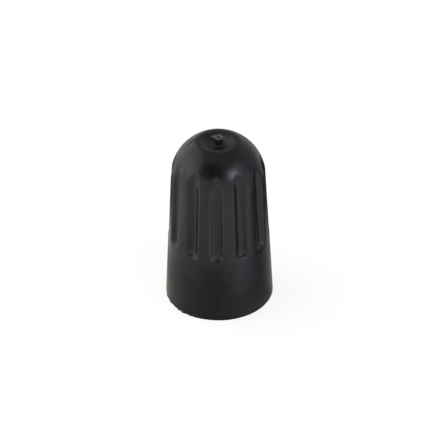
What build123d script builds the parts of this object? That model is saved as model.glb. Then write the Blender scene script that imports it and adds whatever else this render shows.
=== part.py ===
from build123d import *

import os
from math import acos, cos, degrees, radians, sin, sqrt, tan

# Dust cap for a tyre valve: one moulding in hard black plastic, threaded inside, fluted for grip outside.
# Millimetres and degrees. +Z is up the cap's axis, the origin is at the centre of the open rim, the front is -Y.

# Inside, from the open rim up
thread_minor_diameter = 7.0  # over the crests of the female valve thread
thread_length = 6.4
skirt_step = 0.8             # the skirt's wall stands this far back from the thread crests
skirt_depth = 3.6            # clears the neck of the valve stem
mouth_chamfer = 0.3
lead_in_angle = 45.0         # cone from the skirt to the thread, from the axis
stop_shoulder = 0.7          # ring at the end of the thread, which the valve's mouth meets
chamber_depth = 4.6          # above the stop, clear of the valve's pin
roof_thickness = 1.7         # between the chamber and the gate well

# Outside
rim_wall = 1.0               # wall of the skirt at the open rim
rim_chamfer = 0.1            # outer corner of the rim
barrel_draft = 2.85          # mould draft, a side

# Grip flutes, half-round, running out on the dome
flute_count = 12
flute_phase = -92.5          # direction of the first flute about +Z
flute_radius = 0.63          # of the flute's section and of its ball end
flute_depth = 0.42           # below the barrel's surface
flute_start = 6.85           # plain band below the flutes
flute_edge_radius = 0.2      # rounding where a flute meets the barrel and the dome

# Gate well in the crown, with the torn stub of the gate in it
well_diameter = 3.4
well_depth = 1.05            # below the top that the dome would have without the well
well_edge_radius = 0.95
stub_diameter = 0.68
stub_offset = 0.1            # off the axis, towards +X
stub_setback = 0.2           # off the axis, towards the back
stub_height = 0.8            # well floor to the torn flap
flap_thickness = 0.13
flap_side_reach = 0.76       # from the stub's middle to the flap's left and right tips
flap_front_reach = 0.47      # to its front and back tips
flap_waist = 0.40            # to the notches between the tips
pit_diameter = 0.34          # torn-out middle of the flap
pit_depth = 0.16

# Mould flash left on the open rim: direction about +Z and reach past the rim of each ragged tip
flash_tips = [(194, 0.06), (205, 0.08), (215.3, 0.05), (221, 0.13), (227.5, 0.17), (237, 0.10), (243, 0.08)]
flash_fin = 0.03             # reach of the fin halfway between tips and at its ends
flash_run_out = 5.0          # degrees from the outer tips to the fin's ends
flash_height = 0.15
flash_root = 0.3             # how far the fin runs into the rim

# Worked out from the sizes above
draft = radians(barrel_draft)
thread_radius = thread_minor_diameter / 2
skirt_radius = thread_radius + skirt_step
chamber_radius = thread_radius - stop_shoulder
base_radius = skirt_radius + rim_wall
thread_start = skirt_depth + skirt_step / tan(radians(lead_in_angle))
stop_height = thread_start + thread_length
chamber_top = stop_height + chamber_depth
well_floor = chamber_top + roof_thickness
crown_height = well_floor + well_depth
dome_centre = (crown_height - base_radius * cos(draft)) / (1 - sin(draft))
dome_radius = crown_height - dome_centre
well_radius = well_diameter / 2
well_rim = dome_centre + sqrt(dome_radius**2 - well_radius**2)


# Half section of the whole wall: barrel, dome, well, chamber, stop, thread crests, lead-in and skirt
def make_half_section():
    dome_start = (dome_radius * cos(draft), dome_centre + dome_radius * sin(draft))
    dome_end_angle = degrees(acos(well_radius / dome_radius))
    sag = well_rim - well_floor
    bowl_radius = (well_radius**2 + sag**2) / (2 * sag)
    bowl_angle = degrees(acos((bowl_radius - sag) / bowl_radius))
    outline = [
        Line((base_radius, 0), dome_start),
        CenterArc((0, dome_centre), dome_radius, barrel_draft, dome_end_angle - barrel_draft),
        CenterArc((0, well_floor + bowl_radius), bowl_radius, bowl_angle - 90, -bowl_angle),
        Polyline(
            (0, well_floor),
            (0, chamber_top),
            (chamber_radius, chamber_top),
            (chamber_radius, stop_height),
            (thread_radius, stop_height),
            (thread_radius, thread_start),
            (skirt_radius, skirt_depth),
            (skirt_radius, mouth_chamfer),
            (skirt_radius + mouth_chamfer, 0),
            (base_radius, 0),
        ),
    ]
    section = make_face(outline)
    section = fillet(section.vertices().sort_by_distance((well_radius, well_rim))[0], well_edge_radius)
    return chamfer(section.vertices().sort_by_distance((base_radius, 0))[0], rim_chamfer)


# Flute cutter: a round bar with a ball end, laid along the drafted side of the barrel
def make_flute_cutter():
    stand_off = flute_radius - flute_depth
    end_reach = sqrt(flute_radius**2 - stand_off**2)
    ball_height = flute_start + end_reach
    ball_distance = base_radius - ball_height * tan(draft) + stand_off / cos(draft)
    along_side = Plane(origin=(ball_distance, 0, ball_height), z_dir=(-sin(draft), 0, cos(draft)))
    bar = Cylinder(flute_radius, crown_height, align=(Align.CENTER, Align.CENTER, Align.MIN))
    return along_side * (Sphere(flute_radius) + bar)


# Evenly spaced flutes, each with its edge rounded into the barrel and the dome
def cut_flutes(cap):
    cutter = make_flute_cutter()
    for turn in range(flute_count):
        placed = Rot(0, 0, flute_phase + turn * 360 / flute_count) * cutter
        fluted = cap - placed
        cap = fillet(new_edges(cap, placed, combined=fluted), flute_edge_radius)
    return cap


# Stub of the gate: a short post with a torn four-pointed flap and a pit in its middle
def make_gate_stub():
    flap_bottom = well_floor + stub_height
    flap_top = flap_bottom + flap_thickness
    root = roof_thickness / 2
    post_length = root + stub_height + flap_thickness
    hang_down = (Align.CENTER, Align.CENTER, Align.MAX)
    post = Pos(0, 0, flap_top) * Cylinder(stub_diameter / 2, post_length, align=hang_down)
    reaches = [flap_side_reach, flap_waist, flap_front_reach, flap_waist] * 2
    step = 360 / len(reaches)
    tips = [Vector(reach, 0).rotate(Axis.Z, step * place) for place, reach in enumerate(reaches)]
    flap = Pos(0, 0, flap_bottom) * extrude(make_face(Polyline(*tips, close=True)), flap_thickness)
    pit = Pos(0, 0, flap_top) * Cone(0, pit_diameter / 2, pit_depth, align=hang_down)
    return Pos(stub_offset, stub_setback, 0) * (post + flap - pit)


# Thin ragged fin of flash along part of the rim, flush with it below
def make_flash():
    directions = [direction for direction, reach in flash_tips]
    first = directions[0] - flash_run_out
    last = directions[-1] + flash_run_out
    valleys = [(left + right) / 2 for left, right in zip(directions, directions[1:])]
    edge = sorted(flash_tips + [(valley, flash_fin) for valley in [first, *valleys, last]])
    points = [Vector(base_radius + reach, 0).rotate(Axis.Z, direction) for direction, reach in edge]
    root = CenterArc((0, 0), base_radius - flash_root, first, last - first)
    return extrude(make_face([root, Polyline(root @ 0, *points, root @ 1)]), flash_height)


# The section is turned from the middle of a land, so that its seam keeps clear of the flutes
def make_valve_cap():
    land_direction = flute_phase + 180 / flute_count
    turned = Rot(0, 0, land_direction) * revolve(Plane.XZ * make_half_section(), Axis.Z)
    return cut_flutes(turned) + make_gate_stub() + make_flash()


os.makedirs("parts", exist_ok=True)
export_step(make_valve_cap(), "parts/valve_cap.step")
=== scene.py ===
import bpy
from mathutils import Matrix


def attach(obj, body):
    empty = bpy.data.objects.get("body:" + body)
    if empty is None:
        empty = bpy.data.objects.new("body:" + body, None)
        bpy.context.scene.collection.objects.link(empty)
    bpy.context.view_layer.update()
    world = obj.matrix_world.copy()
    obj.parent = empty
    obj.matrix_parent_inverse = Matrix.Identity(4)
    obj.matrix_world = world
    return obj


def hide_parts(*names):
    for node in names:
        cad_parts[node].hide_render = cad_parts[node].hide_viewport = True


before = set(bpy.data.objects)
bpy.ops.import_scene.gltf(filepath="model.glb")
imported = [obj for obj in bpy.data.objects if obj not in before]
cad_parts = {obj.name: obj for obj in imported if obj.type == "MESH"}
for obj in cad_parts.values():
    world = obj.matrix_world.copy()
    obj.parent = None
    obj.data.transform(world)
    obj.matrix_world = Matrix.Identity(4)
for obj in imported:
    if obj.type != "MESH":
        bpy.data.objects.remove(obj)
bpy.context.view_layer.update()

from math import atan2, copysign, cos, degrees, hypot, pi, radians, sin, sqrt, tan

import bmesh
import bpy
from mathutils import Matrix, Quaternion, Vector, noise

# the cap in millimetres and degrees, brought to metres when its mesh is written
wall = {
    "rimRadius": 5.295,
    "rimCorner": 0.1,            # rounding of the rim's outer edge
    "draft": 2.85,               # a side
    "crown": 18.15,              # where the dome would end without the well
    "wellRadius": 1.7,
    "wellFloor": 17.1,
    "wellEdge": 0.95,            # rounding of the well's rim
    "crownFrom": 16.5,           # all above this height is the crown
    "wellFade": (1.3, 2.2),      # radii over which the well's duller finish goes out
    "columns": 480,              # forty to a flute, closer together at its lips
    "cornerRows": 4,
    "bandRows": [(0.3, 3), (6.5, 7), (7.3, 19)],     # height and the cuts up to it
    "barrelRows": 13,
    "domeTurn": 35,              # the dome's rows are closer up to here
    "domeRows": (36, 14),
    "wellRows": (12, 10),        # of its rim and its bowl
}
flute = {
    "count": 12,
    "turn": -92.5,               # direction of the first one
    "radius": 0.64,
    "depth": 0.45,
    "start": 6.92,
    "endReach": 0.45,            # length of the rounded lower end
    "edge": 0.25,                # rounding into barrel and dome
    "heights": (6.2, 17),        # they and their rounding lie between these
    "innermost": 2.5,            # radius that they stay outside on the dome
    "search": (1.2, 26),         # deepest try, in depths, and halvings from there
    "least": 1e-7,               # a cut under this is none
    "crowd": [(0, 0), (5, 4.6), (16, 10.2), (20, 15), (21, 15.9)],   # column of the half pitch and its degrees
    "crowdRise": (2, 6.2),       # heights over which the columns draw together
}
# paler marks on the flutes: rubbed lips and dust in the lower ends, partly painted highlight on the lips and
# painted light lifting the shade in the ends
wearAndLitPlaces = {
    "lipIn": (0.001, 0.02),      # depths in a flute over which its rubbed lip, partly painted highlight, comes in
    "lipOut": (0.04, 0.13),      # and goes out
    "lipLow": (7, 8),            # heights over which it comes in
    "lipHigh": (14, 15.4),       # and goes out
    "dustAndLitIn": (0.05, 0.2),       # depths over which the dust and painted light in the lower end come in
    "dustHigh": (7.1, 7.7),      # heights over which it goes out
}
inside = {
    "mouthChamfer": 0.3,
    "skirtRadius": 4.3,
    "skirtDepth": 3.6,
    "threadRadius": 3.5,         # over the crests
    "threadStart": 4.4,
    "threadEnd": 10.8,
    "pitch": 25.4 / 32,
    "threadDepth": 0.4,
    "rootFlat": 0.12,            # share of the half pitch that is flat at the root
    "flank": 0.66,               # and share that is flank
    "runIn": 0.5,                # height over which the thread comes in
    "runOut": (0.6, 0.2),        # heights below its end over which it goes out
    "threadNear": 0.01,          # the rows this near to its radius are threaded
    "chamberRadius": 2.8,
    "chamberTop": 15.4,
    "roofCorner": 0.3,
    "ease": 0.05,                # small breaks of the corners
    "wideEase": 0.06,
    "mouthEase": 0.07,
    "columns": 160,
    "threadRows": 109,
    "cornerRows": 4,
}
stub = {
    "radius": 0.34,
    "offset": (0.1, 0.2),        # to the right and back
    "held": (0.5, 1.25),         # radii over which the offset goes out
    "foot": 0.1,
    "soft": 0.03,                # rounding of the foot and of the flap's edge
    "neck": (0.08, 0.02),        # heights below the flap where the post flares
    "flapUnder": 17.88,
    "flapFrom": 17.83,           # all above this height is torn
    "flapTop": 18.0,
    "flapReach": 0.6,            # before it is torn to its points
    "flapDip": 0.01,             # the flap sinks this much to the pit
    "pitRadius": 0.2,
    "pitWall": (0.05, 0.06),     # run and drop of the pit's upper wall
    "pitShadeFade": (0.14, 0.23),     # radii over which its painted shade goes out
    "pitFloor": 17.8,
    # direction and reach of the torn points and of the notches between them
    "tear": [
        (-8, 0.76), (16, 0.50), (45, 0.41), (92, 0.50), (125, 0.43), (150, 0.55), (166, 0.76), (184, 0.54),
        (212, 0.37), (262, 0.38), (318, 0.37), (338, 0.50),
    ],
    "ragged": 0.03,              # unevenness of the flap
    "raggedScale": 9,
    "raggedFrom": (3, 1, 7),
    "thinning": 0.6,             # share of its thickness that the tips lose
    "thinFrom": (0.4, 0.8),
    "lift": 0.1,                 # of the tips towards the lift's direction
    "liftFrom": (0.4, 0.85),
    "liftTurn": 150,
}
flash = {
    "root": (0.15, 0.02),        # inside the rim by this the pull begins and is full
    "fade": (0.09, 0.23),        # heights over which the fin goes out
    # azimuth from the front, minus to the left, and reach past the rim
    "edge": [
        (-84, 0.0), (-80, 0.02), (-76, 0.06), (-72, 0.02), (-68, 0.04), (-65, 0.08), (-61, 0.03),
        (-57, 0.03), (-54.7, 0.06), (-52, 0.03), (-49, 0.13), (-46, 0.05), (-42.5, 0.17), (-39, 0.06),
        (-36, 0.05), (-33, 0.10), (-30, 0.04), (-27, 0.08), (-23, 0.03), (-18, 0.02), (-14, 0.0),
    ],
}
joining = {
    "seam": 1e-5,                # where a turned section closes on itself
    "weld": 0.03,                # where the rim meets the mouth
    "rimNear": 0.02,             # how near to its radius a vertex of an open edge lies
    "flatNear": 1e-4,
    "sharp": 50,                 # edges past this angle stay sharp
    "metres": 0.001,
}

draft = radians(wall["draft"])
domeCentre = (wall["crown"] - wall["rimRadius"] * cos(draft)) / (1 - sin(draft))
domeRadius = wall["crown"] - domeCentre
domeStart = domeCentre + domeRadius * sin(draft)


def barrelAt(z):
    return wall["rimRadius"] - z * tan(draft)


def lastVert(made):
    return [item for item in made["geom_last"] if isinstance(item, bmesh.types.BMVert)][0]


def lineTo(bm, vert, r, z, cuts):
    made = bmesh.ops.extrude_vert_indiv(bm, verts=[vert])
    end = Vector((r, 0, z))
    made["verts"][0].co = end
    if cuts:
        bmesh.ops.subdivide_edges(bm, edges=made["edges"], cuts=cuts)
    return min(bm.verts, key=lambda near: (near.co - end).length)


# radius, height and cuts of each line
def linesTo(bm, vert, lines):
    for r, z, cuts in lines:
        vert = lineTo(bm, vert, r, z, cuts)
    return vert


# turn in degrees, clockwise in a section that has the axis at its left
def arcTo(bm, vert, r, z, turn, steps):
    made = bmesh.ops.spin(
        bm, geom=[vert], cent=(r, 0, z), axis=(0, 1, 0), angle=radians(turn), steps=steps, use_duplicate=False)
    return lastVert(made)


def spinRound(bm, columns):
    bmesh.ops.spin(
        bm, geom=bm.verts[:] + bm.edges[:], cent=(0, 0, 0), axis=(0, 0, 1), angle=2 * pi, steps=columns,
        use_merge=True, use_duplicate=False)
    bmesh.ops.remove_doubles(bm, verts=bm.verts[:], dist=joining["seam"])


def blend(low, high, value):
    share = min(max((value - low) / (high - low), 0), 1)
    return share * share * (3 - 2 * share)


def alongTable(table, value):
    for (left, low), (right, high) in zip(table, table[1:]):
        if left <= value <= right:
            return low + (high - low) * (value - left) / (right - left)
    return 0


def drawOutside(bm):
    corner = wall["rimCorner"]
    cornerRadius = barrelAt(corner) - corner
    vert = bm.verts.new((cornerRadius, 0, 0))
    vert = arcTo(bm, vert, cornerRadius, corner, -90, wall["cornerRows"])
    vert = linesTo(bm, vert, [(barrelAt(height), height, cuts) for height, cuts in wall["bandRows"]])
    vert = lineTo(bm, vert, domeRadius * cos(draft), domeStart, wall["barrelRows"])
    # the well's rim: a small arc that touches the dome from inside and the bowl from outside
    rimHeight = domeCentre + sqrt(domeRadius**2 - wall["wellRadius"]**2)
    sag = rimHeight - wall["wellFloor"]
    bowl = (wall["wellRadius"]**2 + sag**2) / (2 * sag)
    bowlCentre = wall["wellFloor"] + bowl
    fromDome = domeRadius - wall["wellEdge"]
    fromBowl = bowl + wall["wellEdge"]
    gap = bowlCentre - domeCentre
    edgeHeight = (fromDome**2 - fromBowl**2 + gap**2) / (2 * gap)
    edgeRadius = sqrt(fromDome**2 - edgeHeight**2)
    edgeHeight += domeCentre
    domeAngle = degrees(atan2(edgeHeight - domeCentre, edgeRadius))
    bowlAngle = degrees(atan2(edgeRadius, bowlCentre - edgeHeight))
    closeRows, wideRows = wall["domeRows"]
    edgeRows, bowlRows = wall["wellRows"]
    vert = arcTo(bm, vert, 0, domeCentre, -(wall["domeTurn"] - wall["draft"]), closeRows)
    vert = arcTo(bm, vert, 0, domeCentre, -(domeAngle - wall["domeTurn"]), wideRows)
    vert = arcTo(bm, vert, edgeRadius, edgeHeight, -(180 - domeAngle - (90 - bowlAngle)), edgeRows)
    foot = stub["radius"] + stub["foot"]
    footAngle = degrees(atan2(foot, sqrt(bowl**2 - foot**2)))
    vert = arcTo(bm, vert, 0, bowlCentre, bowlAngle - footAngle, bowlRows)
    drawStub(bm, vert)


def drawStub(bm, vert):
    floor = vert.co.z
    post, reach, pit, soft = stub["radius"], stub["flapReach"], stub["pitRadius"], stub["soft"]
    under, top = stub["flapUnder"], stub["flapTop"]
    neckStart, neckEnd = stub["neck"]
    wallRun, wallDrop = stub["pitWall"]
    linesTo(bm, vert, [
        (post + soft, floor + soft, 0),
        (post, floor + stub["foot"], 0),
        (post, under - neckStart, 5),
        (post + soft, under - neckEnd, 0),
        (reach - soft, under, 3),
        (reach, (under + top) / 2, 0),
        (reach - soft, top, 0),
        (pit, top - stub["flapDip"], 6),
        (pit - wallRun, top - wallDrop, 0),
        (0, stub["pitFloor"], 3),
    ])


def drawInside(bm):
    skirt, thread, chamber = inside["skirtRadius"], inside["threadRadius"], inside["chamberRadius"]
    depth, start, end, top = inside["skirtDepth"], inside["threadStart"], inside["threadEnd"], inside["chamberTop"]
    mouth, corner, ease, wide = inside["mouthChamfer"], inside["roofCorner"], inside["ease"], inside["wideEase"]
    vert = bm.verts.new((skirt + mouth, 0, 0))
    vert = linesTo(bm, vert, [
        (skirt + ease, mouth - inside["mouthEase"], 1),
        (skirt, mouth + ease, 0),
        (skirt, depth - wide, 5),
        (skirt - ease, depth + ease, 0),
        (thread + ease, start - ease, 2),
        (thread, start + ease, 0),
        (thread, end - ease, inside["threadRows"]),
        (thread - ease, end, 0),
        (chamber + wide, end, 1),
        (chamber, end + wide, 0),
        (chamber, top - corner, 6),
    ])
    vert = arcTo(bm, vert, chamber - corner, top - corner, -90, inside["cornerRows"])
    lineTo(bm, vert, 0, top, 3)


# how deep a flute lies under a point of the barrel or dome, with its edge rounded
def fluteDepth(point, normal):
    radius, edge = flute["radius"], flute["edge"]
    standOff = radius - flute["depth"]
    squeeze = radius / flute["endReach"]
    endHeight = flute["start"] + flute["endReach"] * sqrt(1 - (standOff / radius)**2)
    end = Vector((barrelAt(endHeight) + standOff / cos(draft), 0, endHeight))
    along = Vector((-sin(draft), 0, cos(draft)))

    def outsideBy(depth):
        toEnd = point - normal * depth - end
        past = toEnd.dot(along)
        aside = (toEnd - along * past).length
        past = min(past, 0) * squeeze
        across = hypot(aside, past)
        toWall = (across - radius) * across / hypot(aside, past * squeeze)
        return min(-edge, max(-depth, -toWall)) + hypot(max(edge - depth, 0), max(edge - toWall, 0))

    deepest, halvings = flute["search"]
    low, high = 0, flute["depth"] * deepest
    if outsideBy(low) < flute["least"]:
        return 0
    for halving in range(halvings):
        middle = (low + high) / 2
        if outsideBy(middle) > 0:
            low = middle
        else:
            high = middle
    return low


# brings the columns closer together where a flute's lip turns
def crowdColumns(bm):
    pitch = 2 * pi / flute["count"]
    step = 2 * pi / wall["columns"]
    for vert in bm.verts:
        r = hypot(vert.co.x, vert.co.y)
        direction = atan2(vert.co.y, vert.co.x)
        aside = direction - round(direction / pitch) * pitch
        crowded = copysign(radians(alongTable(flute["crowd"], abs(aside) / step)), aside)
        direction += (crowded - aside) * blend(*flute["crowdRise"], vert.co.z)     # the rim's columns stay even
        vert.co.x, vert.co.y = r * cos(direction), r * sin(direction)


def cutFlutes(bm):
    pitch = 2 * pi / flute["count"]
    lowest, highest = flute["heights"]
    wornAndLit = bm.verts.layers.float["wornAndLit"]
    known = {}                   # every flute is the same, so each depth is found once
    for vert in bm.verts:
        r = hypot(vert.co.x, vert.co.y)
        if lowest < vert.co.z < highest and r > flute["innermost"]:
            direction = atan2(vert.co.y, vert.co.x)
            aside = abs(direction - round(direction / pitch) * pitch)
            if vert.co.z < domeStart:
                leanOut, leanUp = cos(draft), sin(draft)
            else:
                leanOut, leanUp = r / domeRadius, (vert.co.z - domeCentre) / domeRadius
            place = (round(aside, 4), round(vert.co.z, 3))
            if place not in known:
                local = Vector((r * cos(aside), r * sin(aside), vert.co.z))
                known[place] = fluteDepth(local, Vector((leanOut * cos(aside), leanOut * sin(aside), leanUp)))
            depth = known[place]
            vert.co -= Vector((leanOut * vert.co.x / r, leanOut * vert.co.y / r, leanUp)) * depth
            # lips paler as wear and painted highlight, lower ends paler as dust and painted light over their shade
            rubbedAndLitLip = blend(*wearAndLitPlaces["lipIn"], depth) * (1 - blend(*wearAndLitPlaces["lipOut"], depth))
            rubbedAndLitLip *= blend(*wearAndLitPlaces["lipLow"], vert.co.z) * (1 - blend(*wearAndLitPlaces["lipHigh"], vert.co.z))
            dustAndLitEnd = blend(*wearAndLitPlaces["dustAndLitIn"], depth) * (1 - blend(*wearAndLitPlaces["dustHigh"], vert.co.z))
            vert[wornAndLit] = max(rubbedAndLitLip, dustAndLitEnd)


# draws a vertex of the round flap out to the torn points, thins it and lifts it
def tearFlap(vert, r):
    post, under = stub["radius"], stub["flapUnder"]
    points = stub["tear"]
    table = points + [(points[0][0] + 360, points[0][1])]
    turn = degrees(atan2(vert.co.y, vert.co.x))
    turn = turn if turn >= points[0][0] else turn + 360
    ragged = noise.noise(Vector((vert.co.x, vert.co.y, 0)) * stub["raggedScale"] + Vector(stub["raggedFrom"]))
    if r > post:
        share = (r - post) / (stub["flapReach"] - post)
        grown = post + share * (alongTable(table, turn) - post) + share * stub["ragged"] * ragged
        vert.co.x *= grown / r
        vert.co.y *= grown / r
        thin = 1 - stub["thinning"] * blend(*stub["thinFrom"], grown)
        lifted = stub["lift"] * blend(*stub["liftFrom"], grown) * cos(radians(turn - stub["liftTurn"]))
        vert.co.z = under + (vert.co.z - under) * thin
        vert.co.z += stub["ragged"] * ragged + lifted


def tearGate(bm):
    torn = bm.verts.layers.float["torn"]
    pit = bm.verts.layers.float["pit"]
    well = bm.verts.layers.float["well"]
    right, back = stub["offset"]
    for vert in bm.verts:
        r = hypot(vert.co.x, vert.co.y)
        if vert.co.z > wall["crownFrom"]:
            vert[well] = 1 - blend(*wall["wellFade"], r)
            loose = 1 - blend(*stub["held"], r)
            if vert.co.z > stub["flapFrom"] and loose > 0:
                vert[torn] = 1
                # painted shade in the pit
                vert[pit] = 1 - blend(*stub["pitShadeFade"], r)
                tearFlap(vert, r)
            vert.co.x += right * loose
            vert.co.y += back * loose


def pullFlash(bm):
    rootStart, rootEnd = flash["root"]
    for vert in bm.verts:
        if vert.co.z < flash["fade"][1]:
            r = hypot(vert.co.x, vert.co.y)
            azimuth = degrees(atan2(vert.co.x, -vert.co.y))
            reach = alongTable(flash["edge"], azimuth)
            reach *= blend(wall["rimRadius"] - rootStart, wall["rimRadius"] - rootEnd, r)
            reach *= 1 - blend(*flash["fade"], vert.co.z)
            vert.co.x *= (r + reach) / r
            vert.co.y *= (r + reach) / r


# right-handed female thread that runs in and out
def cutThread(bm):
    start, end = inside["threadStart"], inside["threadEnd"]
    fading, faded = inside["runOut"]
    for vert in bm.verts:
        r = hypot(vert.co.x, vert.co.y)
        if abs(r - inside["threadRadius"]) < inside["threadNear"]:
            climb = vert.co.z / inside["pitch"] - atan2(vert.co.y, vert.co.x) / (2 * pi)
            across = abs(climb % 1 - 0.5) * 2      # 0 at the root, 1 at the crest
            groove = 1 - min(max((across - inside["rootFlat"]) / inside["flank"], 0), 1)
            shallow = blend(start, start + inside["runIn"], vert.co.z)
            shallow *= 1 - blend(end - fading, end - faded, vert.co.z)
            grown = r + inside["threadDepth"] * groove * shallow
            vert.co.x *= grown / r
            vert.co.y *= grown / r


# the open edges in the plane of the rim at this radius
def openLoop(bm, r):
    def onLoop(vert):
        offRadius = abs(hypot(vert.co.x, vert.co.y) - r)
        return offRadius < joining["rimNear"] and abs(vert.co.z) < joining["flatNear"]

    return [edge for edge in bm.edges if edge.is_boundary and all(onLoop(vert) for vert in edge.verts)]


# the flat of the rim: the outer edge drawn in to the mouth and welded to it
def closeRim(bm):
    mouth = inside["skirtRadius"] + inside["mouthChamfer"]
    rimRadius = barrelAt(wall["rimCorner"]) - wall["rimCorner"]
    bmesh.ops.subdivide_edges(bm, edges=openLoop(bm, mouth), cuts=wall["columns"] // inside["columns"] - 1)
    made = bmesh.ops.extrude_edge_only(bm, edges=openLoop(bm, rimRadius))
    drawnIn = [item for item in made["geom"] if isinstance(item, bmesh.types.BMVert)]
    bmesh.ops.scale(bm, verts=drawnIn, vec=(mouth / rimRadius, mouth / rimRadius, 1))
    edgeOn = [vert for vert in bm.verts if vert.is_boundary]
    bmesh.ops.remove_doubles(bm, verts=edgeOn, dist=joining["weld"])


def turnToFlute(bm):
    turn = Matrix.Rotation(radians(flute["turn"]), 3, "Z")
    bmesh.ops.rotate(bm, verts=bm.verts[:], cent=(0, 0, 0), matrix=turn)


def makeCap():
    outer = bmesh.new()
    for mark in ("wornAndLit", "torn", "pit", "well"):
        outer.verts.layers.float.new(mark)
    drawOutside(outer)
    spinRound(outer, wall["columns"])
    crowdColumns(outer)
    cutFlutes(outer)
    turnToFlute(outer)
    tearGate(outer)
    print("outside:", len(outer.verts), "vertices")
    hollow = bmesh.new()
    drawInside(hollow)
    spinRound(hollow, inside["columns"])
    cutThread(hollow)
    turnToFlute(hollow)
    print("inside:", len(hollow.verts), "vertices")
    hollowMesh = bpy.data.meshes.new("hollow")
    hollow.to_mesh(hollowMesh)
    hollow.free()
    outer.from_mesh(hollowMesh)
    bpy.data.meshes.remove(hollowMesh)
    closeRim(outer)
    pullFlash(outer)
    bmesh.ops.recalc_face_normals(outer, faces=outer.faces[:])
    for face in outer.faces:
        face.smooth = True
    for edge in outer.edges:
        edge.smooth = edge.calc_face_angle(0) < radians(joining["sharp"])
    bmesh.ops.scale(outer, verts=outer.verts[:], vec=[joining["metres"]] * 3)
    mesh = bpy.data.meshes.new("ValveCap")
    outer.to_mesh(mesh)
    openEdges = sum(edge.is_boundary or not edge.is_manifold for edge in outer.edges)
    outer.free()
    mesh.calc_loop_triangles()
    print("cap:", len(mesh.loop_triangles), "triangles,", openEdges, "open edges")
    cap = bpy.data.objects.new("ValveCap", mesh)
    bpy.context.scene.collection.objects.link(cap)
    return cap


plastic = {
    "black": (0.0057, 0.0055, 0.0066, 1),
    "clouded": (0.0083, 0.0079, 0.0086, 1),    # where the moulding is a little greyer
    "scuffedAndLit": (0.021, 0.021, 0.022, 1),       # the rubbed lips of the flutes and the dust in their lower ends, with painted highlight on the lips and painted light over the shade of the ends
    "dusty": (0.17, 0.16, 0.145, 1),
    "torn": (0.088, 0.083, 0.077, 1),          # stretched pale where the gate tore off
    "tornShade": (0.045, 0.041, 0.036, 1),
    # the pit darkened with painted shade
    "pit": (0.020, 0.013, 0.009, 1),
    "smooth": 0.18,
    "dull": 0.26,
    "specular": 0.2,
    # patterns: scale to the millimetre, detail and roughness
    "grain": (4, 4, 0.65),                     # fine texture of the mould
    "flow": (0.55, 3, 0.5),                    # broad clouding of the colour and gloss
    "drawn": (1, 2, 0.5),                      # faint lines from leaving the mould
    "drawnStretch": (5, 5, 0.35),
    "patchy": (0.8, 2, 0.5),                   # breaks up the wear and its painted light
    "fibre": (4.5, 2, 0.5),                    # of the torn plastic
    # stretches of a pattern's values over which it comes in
    "flowColour": (0.35, 0.65),
    "flowGloss": (0.3, 0.7),
    "drawnGloss": (0.35, 0.65),
    "patchyWear": (0.2, 0.7),
    "fibreColour": (0.35, 0.6),
    "speckScale": 1.25,
    "speckSize": (0.04, 0.10),
    "speckShare": (0.58, 0.62),                # the higher, the fewer specks of dust
    "speckColour": 0.35,
    "lineGloss": 0.02,                         # what the drawn lines add to the roughness or take off it
    "wornAndLitGloss": 0.14,                         # and what these add
    "dustGloss": 0.3,
    "tornGloss": 0.35,
    "wellGloss": 0.18,
    "bump": 0.8,
    "bumpHeight": 0.00001,
    "drawnBump": 0.12,
    "dustBump": 0.6,
}


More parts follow.
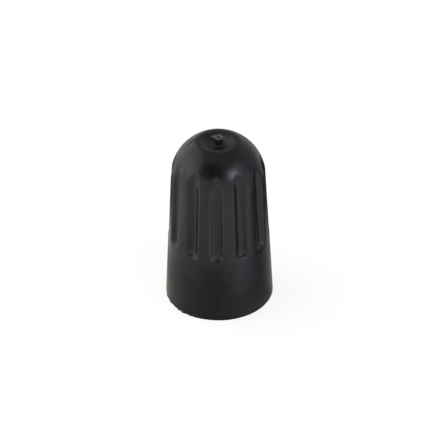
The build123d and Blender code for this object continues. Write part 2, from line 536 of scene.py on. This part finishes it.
def makePlastic():
    material = bpy.data.materials.new("SatinBlackPlastic")
    material.use_nodes = True
    nodes, links = material.node_tree.nodes, material.node_tree.links
    shader = nodes["Principled BSDF"]
    shader.inputs["Specular IOR Level"].default_value = plastic["specular"]
    where = nodes.new("ShaderNodeTexCoord")

    def scaled(stretch):                       # pattern coordinates in millimetres times the stretch
        mapping = nodes.new("ShaderNodeMapping")
        mapping.inputs["Scale"].default_value = [share / joining["metres"] for share in stretch]
        links.new(where.outputs["Object"], mapping.inputs["Vector"])
        return mapping.outputs["Vector"]

    def cloud(vector, pattern):
        texture = nodes.new("ShaderNodeTexNoise")
        for place, number in zip(("Scale", "Detail", "Roughness"), plastic[pattern]):
            texture.inputs[place].default_value = number
        links.new(vector, texture.inputs["Vector"])
        return texture.outputs["Fac"]

    def ramp(value, stretch, start=0, end=1):
        node = nodes.new("ShaderNodeMapRange")
        node.interpolation_type = "SMOOTHSTEP"
        for place, number in zip(("From Min", "From Max", "To Min", "To Max"), (*plastic[stretch], start, end)):
            node.inputs[place].default_value = number
        links.new(value, node.inputs["Value"])
        return node.outputs["Result"]

    def sums(kind, left, right):
        node = nodes.new("ShaderNodeMath")
        node.operation = kind
        links.new(left, node.inputs[0])
        if isinstance(right, float):
            node.inputs[1].default_value = right
        else:
            links.new(right, node.inputs[1])
        return node.outputs[0]

    def paint(under, over, share):
        node = nodes.new("ShaderNodeMix")
        node.data_type = "RGBA"
        for socket, colour in ((node.inputs[6], under), (node.inputs[7], over)):
            if isinstance(colour, tuple):
                socket.default_value = colour
            else:
                links.new(colour, socket)
        links.new(share, node.inputs[0])
        return node.outputs[2]

    def mark(name):
        node = nodes.new("ShaderNodeAttribute")
        node.attribute_name = name
        return node.outputs["Fac"]

    even = scaled((1, 1, 1))
    grain = cloud(even, "grain")
    flow = cloud(even, "flow")
    drawn = cloud(scaled(plastic["drawnStretch"]), "drawn")
    specks = nodes.new("ShaderNodeTexVoronoi")
    specks.inputs["Scale"].default_value = plastic["speckScale"]
    links.new(even, specks.inputs["Vector"])
    chosen = nodes.new("ShaderNodeSeparateColor")
    links.new(specks.outputs["Color"], chosen.inputs["Color"])
    dust = ramp(specks.outputs["Distance"], "speckSize", 1, 0)
    dust = sums("MULTIPLY", dust, ramp(chosen.outputs["Red"], "speckShare"))
    wearAndLight = sums("MULTIPLY", mark("wornAndLit"), ramp(cloud(even, "patchy"), "patchyWear"))
    torn = mark("torn")

    colour = paint(plastic["black"], plastic["clouded"], ramp(flow, "flowColour"))
    # rubbed lips and dusty lower ends, partly painted highlight and painted light
    colour = paint(colour, plastic["scuffedAndLit"], wearAndLight)
    colour = paint(colour, plastic["dusty"], sums("MULTIPLY", dust, plastic["speckColour"]))
    fibre = paint(plastic["tornShade"], plastic["torn"], ramp(cloud(even, "fibre"), "fibreColour"))
    colour = paint(colour, fibre, torn)
    # painted shade in the pit
    colour = paint(colour, plastic["pit"], mark("pit"))
    links.new(colour, shader.inputs["Base Color"])

    gloss = ramp(flow, "flowGloss", plastic["smooth"], plastic["dull"])
    gloss = sums("ADD", gloss, ramp(drawn, "drawnGloss", -plastic["lineGloss"], plastic["lineGloss"]))
    for share, more in ((wearAndLight, "wornAndLitGloss"), (dust, "dustGloss"), (torn, "tornGloss"), (mark("well"), "wellGloss")):
        gloss = sums("ADD", gloss, sums("MULTIPLY", share, plastic[more]))
    links.new(gloss, shader.inputs["Roughness"])

    bump = nodes.new("ShaderNodeBump")
    bump.inputs["Strength"].default_value = plastic["bump"]
    bump.inputs["Distance"].default_value = plastic["bumpHeight"]
    height = sums("ADD", grain, sums("MULTIPLY", drawn, plastic["drawnBump"]))
    height = sums("ADD", height, sums("MULTIPLY", dust, plastic["dustBump"]))
    links.new(height, bump.inputs["Height"])
    links.new(bump.outputs["Normal"], shader.inputs["Normal"])
    return material


# the studio in metres
studio = {
    "world": 0.62,
    "floorSize": 2.0,
    "floorTone": 0.8,            # as it lights the cap
    "seenTone": 0.25,            # as it is seen and mirrored, with this glow
    "seenGlow": 0.78,
    "aim": (0, 0, 0.009),        # lamps and cards face the middle of the cap
    "cardTone": 0.01,
    "cardGrid": 24,
}


def grey(tone):
    return (tone, tone, tone, 1)


def makeWorld():
    world = bpy.data.worlds.new("Tent")
    bpy.context.scene.world = world
    world.use_nodes = True
    background = world.node_tree.nodes["Background"]
    background.inputs["Color"].default_value = grey(1)
    background.inputs["Strength"].default_value = studio["world"]


def makeFloor():
    bm = bmesh.new()
    bmesh.ops.create_grid(bm, x_segments=1, y_segments=1, size=studio["floorSize"] / 2)
    mesh = bpy.data.meshes.new("Floor")
    bm.to_mesh(mesh)
    bm.free()
    floor = bpy.data.objects.new("Floor", mesh)
    bpy.context.scene.collection.objects.link(floor)
    material = bpy.data.materials.new("PaleFloor")
    material.use_nodes = True
    nodes, links = material.node_tree.nodes, material.node_tree.links
    nodes.clear()

    def sums(kind, left, right):
        node = nodes.new("ShaderNodeMath")
        node.operation = kind
        node.use_clamp = True
        links.new(left, node.inputs[0])
        links.new(right, node.inputs[1])
        return node.outputs[0]

    def choose(share, first, second):
        node = nodes.new("ShaderNodeMixShader")
        for socket, value in zip(node.inputs, (share, first, second)):
            links.new(value, socket)
        return node.outputs[0]

    path = nodes.new("ShaderNodeLightPath").outputs
    plain = nodes.new("ShaderNodeBsdfDiffuse")
    plain.inputs["Color"].default_value = grey(studio["floorTone"])
    soft = nodes.new("ShaderNodeBsdfDiffuse")
    soft.inputs["Color"].default_value = grey(studio["seenTone"])
    glow = nodes.new("ShaderNodeEmission")
    glow.inputs["Strength"].default_value = studio["seenGlow"]
    white = nodes.new("ShaderNodeAddShader")
    links.new(soft.outputs[0], white.inputs[0])
    links.new(glow.outputs[0], white.inputs[1])
    seen = sums("ADD", path["Is Camera Ray"], path["Is Glossy Ray"])
    seen = sums("ADD", seen, path["Is Transmission Ray"])
    above = choose(seen, plain.outputs[0], white.outputs[0])
    # a camera under the floor sees the cap's mouth through it
    face = nodes.new("ShaderNodeNewGeometry")
    clear = nodes.new("ShaderNodeBsdfTransparent")
    below = sums("MULTIPLY", face.outputs["Backfacing"], path["Is Camera Ray"])
    out = nodes.new("ShaderNodeOutputMaterial")
    links.new(choose(below, above, clear.outputs[0]), out.inputs["Surface"])
    mesh.materials.append(material)


# azimuth from the front, plus to the right, and elevation, both seen from the cap
def towards(azimuth, elevation, distance):
    return Vector((
        sin(radians(azimuth)) * cos(radians(elevation)),
        -cos(radians(azimuth)) * cos(radians(elevation)),
        sin(radians(elevation)))) * distance + Vector(studio["aim"])


def facingCap(place):
    return (Vector(studio["aim"]) - place).to_track_quat("-Z", "Y")


lamps = {
    "LeftLamp": {
        "azimuth": -99, "elevation": 24, "distance": 0.4, "width": 0.84, "height": 0.42,
        "radiance": 1.75, "colour": (1, 0.96, 0.88)},
    "FrontLamp": {
        "azimuth": 44, "elevation": 33, "distance": 0.5, "width": 0.50, "height": 0.26,
        "radiance": 2.2, "colour": (0.9, 0.93, 1)},
}


def makeLamp(name, azimuth, elevation, distance, width, height, radiance, colour):
    lamp = bpy.data.lights.new(name, "AREA")
    lamp.shape = "RECTANGLE"
    lamp.size = width
    lamp.size_y = height
    lamp.energy = radiance * pi * width * height   # so that its face has this radiance
    lamp.color = colour
    lampObject = bpy.data.objects.new(name, lamp)
    lampObject.location = towards(azimuth, elevation, distance)
    lampObject.rotation_euler = facingCap(lampObject.location).to_euler()
    lampObject.visible_glossy = False              # the gloss mirrors the cards instead
    bpy.context.scene.collection.objects.link(lampObject)


# cards and a table top that only the cap's reflections see: painted reflected light and shade, and on the table top
# the cap's painted shadow
def makeCard(name, bm, glow):
    mesh = bpy.data.meshes.new(name)
    bm.to_mesh(mesh)
    bm.free()
    card = bpy.data.objects.new(name, mesh)
    bpy.context.scene.collection.objects.link(card)
    material = bpy.data.materials.new(name + "Paper")
    material.use_nodes = True
    mesh.materials.append(material)
    reflection = material.node_tree.nodes["Principled BSDF"]
    reflection.inputs["Base Color"].default_value = grey(studio["cardTone"])
    reflection.inputs["Specular IOR Level"].default_value = 0
    # a glow that only reflections see: painted reflected light
    reflection.inputs["Emission Strength"].default_value = glow
    for sight in ("visible_camera", "visible_diffuse", "visible_shadow", "visible_transmission"):
        setattr(card, sight, False)
    return material.node_tree


# painted reflections: the glowing cards stand in for lights, the dark card for the dark camera side
# soft is the share of the card's width and height over which each edge fades away
cards = {
    "LeftCard": {
        "azimuth": -98, "elevation": 25, "distance": 0.42, "width": 1.15, "height": 0.66,
        "soft": 0.2, "glow": 1.9, "colour": (1.01, 0.965, 0.89)},
    "LeftGlow": {
        "azimuth": -88, "elevation": 22, "distance": 0.36, "width": 0.47, "height": 0.36,
        "soft": 0.5, "glow": 3.8, "colour": (1.01, 0.965, 0.89)},
    "DarkCard": {
        "azimuth": -20, "elevation": 46, "distance": 0.3, "width": 0.40, "height": 0.23,
        "soft": 0.15, "glow": 0, "colour": (1, 1, 1)},
    "FrontCard": {
        "azimuth": -20, "elevation": 9.5, "distance": 0.4, "width": 0.60, "height": 0.21,
        "soft": 0.12, "glow": 1.6, "colour": (0.99, 0.965, 1.09)},
    "FrontSoft": {
        "azimuth": 55, "elevation": 34, "distance": 0.5, "width": 0.80, "height": 0.34,
        "soft": 0.3, "glow": 1.9, "colour": (0.96, 0.935, 1.11)},
    "FrontGlow": {
        "azimuth": 44, "elevation": 30, "distance": 0.44, "width": 0.29, "height": 0.24,
        "soft": 0.5, "glow": 10.5, "colour": (0.97, 0.95, 1.08)},
    "SideCard": {
        "azimuth": 52, "elevation": 12, "distance": 0.46, "width": 0.70, "height": 0.28,
        "soft": 0.12, "glow": 1.6, "colour": (0.96, 0.94, 1.09)},
    "RightCard": {
        "azimuth": 118, "elevation": 26, "distance": 0.4, "width": 0.75, "height": 0.34,
        "soft": 0.3, "glow": 0.8, "colour": (0.96, 0.94, 1.08)},
}


def hangCard(name, azimuth, elevation, distance, width, height, soft, glow, colour):
    bm = bmesh.new()
    fade = bm.verts.layers.float.new("fade")
    bmesh.ops.create_grid(bm, x_segments=studio["cardGrid"], y_segments=studio["cardGrid"], size=0.5)
    for vert in bm.verts:
        vert[fade] = blend(0, soft, 0.5 - abs(vert.co.x)) * blend(0, soft, 0.5 - abs(vert.co.y))
    bmesh.ops.scale(bm, verts=bm.verts[:], vec=(width, height, 1))
    place = towards(azimuth, elevation, distance)
    turn = facingCap(place).to_matrix().to_4x4()
    bmesh.ops.transform(bm, verts=bm.verts[:], matrix=Matrix.Translation(place) @ turn)
    tree = makeCard(name, bm, glow)
    nodes, links = tree.nodes, tree.links
    reflection = nodes["Principled BSDF"]
    reflection.inputs["Emission Color"].default_value = (*colour, 1)
    share = nodes.new("ShaderNodeAttribute")
    share.attribute_name = "fade"
    clear = nodes.new("ShaderNodeBsdfTransparent")
    mix = nodes.new("ShaderNodeMixShader")
    links.new(share.outputs["Fac"], mix.inputs[0])
    links.new(clear.outputs[0], mix.inputs[1])
    links.new(reflection.outputs[0], mix.inputs[2])
    links.new(mix.outputs[0], nodes["Material Output"].inputs["Surface"])


# a glowing disc on the floor that only reflections see: painted light of the table and painted shadow of the cap on
# it, darker to the right and back and close around the cap
tableGlowAndShadow = {
    "radius": 0.2,
    "sides": 48,
    "lift": 0.00002,             # clear of the floor
    "glow": 2.0,
    "tint": (1.02, 0.985, 1.04),
    "warmTint": (0.01, 0, -0.14),    # added where the light is warm, taken off where it is cool
    "warmReach": 0.0135,         # beyond this the warmth fades
    # azimuth and how warm the light is there, minus for cool
    "warmth": [(-90, 1), (-10, 0.2), (40, -0.6), (100, -0.2), (150, 0.6), (270, 1)],
    # how far out each ring lies and its tones, the table's painted light and the cap's painted shadow as the gloss
    # mirrors them: azimuth from the front, from the left round to the left, and level
    "rings": [
        (0.009, [
            (-88, 0.6), (-60, 0.75), (0, 0.55), (33, 0.85), (65, 0.4), (80, 0.28), (95, 0.4), (225, 0.3),
            (268, 0.55)]),
        (0.0135, [
            (-88, 0.85), (-40, 0.92), (5, 0.45), (40, 1.7), (70, 0.5), (85, 0.18), (120, 0.4), (210, 0.6),
            (240, 1.0), (268, 0.9)]),
        (0.019, [
            (-88, 1.2), (-25, 1.35), (30, 1.7), (66, 1.4), (77, 0.1), (130, 0.05), (238, 0.1), (246, 0.6),
            (268, 1.2)]),
        (0.028, [
            (-88, 1.6), (-25, 1.4), (30, 1.7), (70, 1.7), (81, 0.1), (130, 0.1), (238, 0.25), (248, 0.9),
            (268, 1.5)]),
        (0.050, [
            (-88, 1.9), (0, 1.6), (40, 1.7), (72, 1.7), (84, 0.3), (100, 0.25), (118, 0.5), (140, 0.9),
            (165, 0.4), (225, 1.0), (250, 1.6), (268, 1.9)]),
    ],
}


def layTableGlowAndShadow():
    bm = bmesh.new()
    bmesh.ops.create_circle(bm, cap_ends=True, segments=tableGlowAndShadow["sides"], radius=tableGlowAndShadow["radius"])
    bmesh.ops.translate(bm, verts=bm.verts[:], vec=(0, 0, tableGlowAndShadow["lift"]))
    tree = makeCard("TableGlowAndShadow", bm, tableGlowAndShadow["glow"])
    nodes, links = tree.nodes, tree.links
    where = nodes.new("ShaderNodeTexCoord")
    around = nodes.new("ShaderNodeTexGradient")
    around.gradient_type = "RADIAL"
    away = nodes.new("ShaderNodeVectorMath")
    away.operation = "LENGTH"
    links.new(where.outputs["Object"], around.inputs["Vector"])
    links.new(where.outputs["Object"], away.inputs[0])
    mixed = None
    for distance, tones in tableGlowAndShadow["rings"]:
        ring = nodes.new("ShaderNodeValToRGB")
        stops = ring.color_ramp.elements
        for azimuth, level in tones:
            stop = stops.new((azimuth + 90) / 360)
            level /= tableGlowAndShadow["glow"]
            warmth = alongTable(tableGlowAndShadow["warmth"], azimuth) * min(1, tableGlowAndShadow["warmReach"] / distance)
            tints = zip(tableGlowAndShadow["tint"], tableGlowAndShadow["warmTint"])
            stop.color = [level * (tint + warm * warmth) for tint, warm in tints] + [1]
        stops.remove(stops[0])   # the two that a new ramp has
        stops.remove(stops[len(stops) - 1])
        links.new(around.outputs["Fac"], ring.inputs["Fac"])
        if mixed is None:
            mixed = ring.outputs["Color"]
        else:
            share = nodes.new("ShaderNodeMapRange")
            share.inputs["From Min"].default_value = inner
            share.inputs["From Max"].default_value = distance
            links.new(away.outputs["Value"], share.inputs["Value"])
            mix = nodes.new("ShaderNodeMix")
            mix.data_type = "RGBA"
            links.new(share.outputs["Result"], mix.inputs[0])
            links.new(mixed, mix.inputs[6])
            links.new(ring.outputs["Color"], mix.inputs[7])
            mixed = mix.outputs[2]
        inner = distance
    links.new(mixed, nodes["Principled BSDF"].inputs["Emission Color"])


view = {
    "aim": (0.000469, 0, 0.008277),
    "elevation": 35.853,
    "distance": 0.265,
    "roll": -0.625,
    "lens": 218.77,
    "sensor": 36,
    "clip": 0.01,
}


def makeCamera():
    data = bpy.data.cameras.new("Camera")
    data.sensor_fit = "HORIZONTAL"
    data.sensor_width = view["sensor"]
    data.lens = view["lens"]
    data.clip_start = view["clip"]
    camera = bpy.data.objects.new("Camera", data)
    aim = Vector(view["aim"])
    tilt = radians(view["elevation"])
    camera.location = aim + Vector((0, -cos(tilt), sin(tilt))) * view["distance"]
    look = (aim - camera.location).to_track_quat("-Z", "Y") @ Quaternion((0, 0, 1), radians(view["roll"]))
    camera.rotation_euler = look.to_euler()
    bpy.context.scene.collection.objects.link(camera)
    bpy.context.scene.camera = camera


cap = makeCap()
cap.data.materials.append(makePlastic())
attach(cap, "root")
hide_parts("valve_cap")
print("cap placed")

makeWorld()
makeFloor()
layTableGlowAndShadow()
for name, lamp in lamps.items():
    makeLamp(name, **lamp)
for name, card in cards.items():
    hangCard(name, **card)
makeCamera()
bpy.context.scene.view_settings.view_transform = "Standard"
print("studio set")
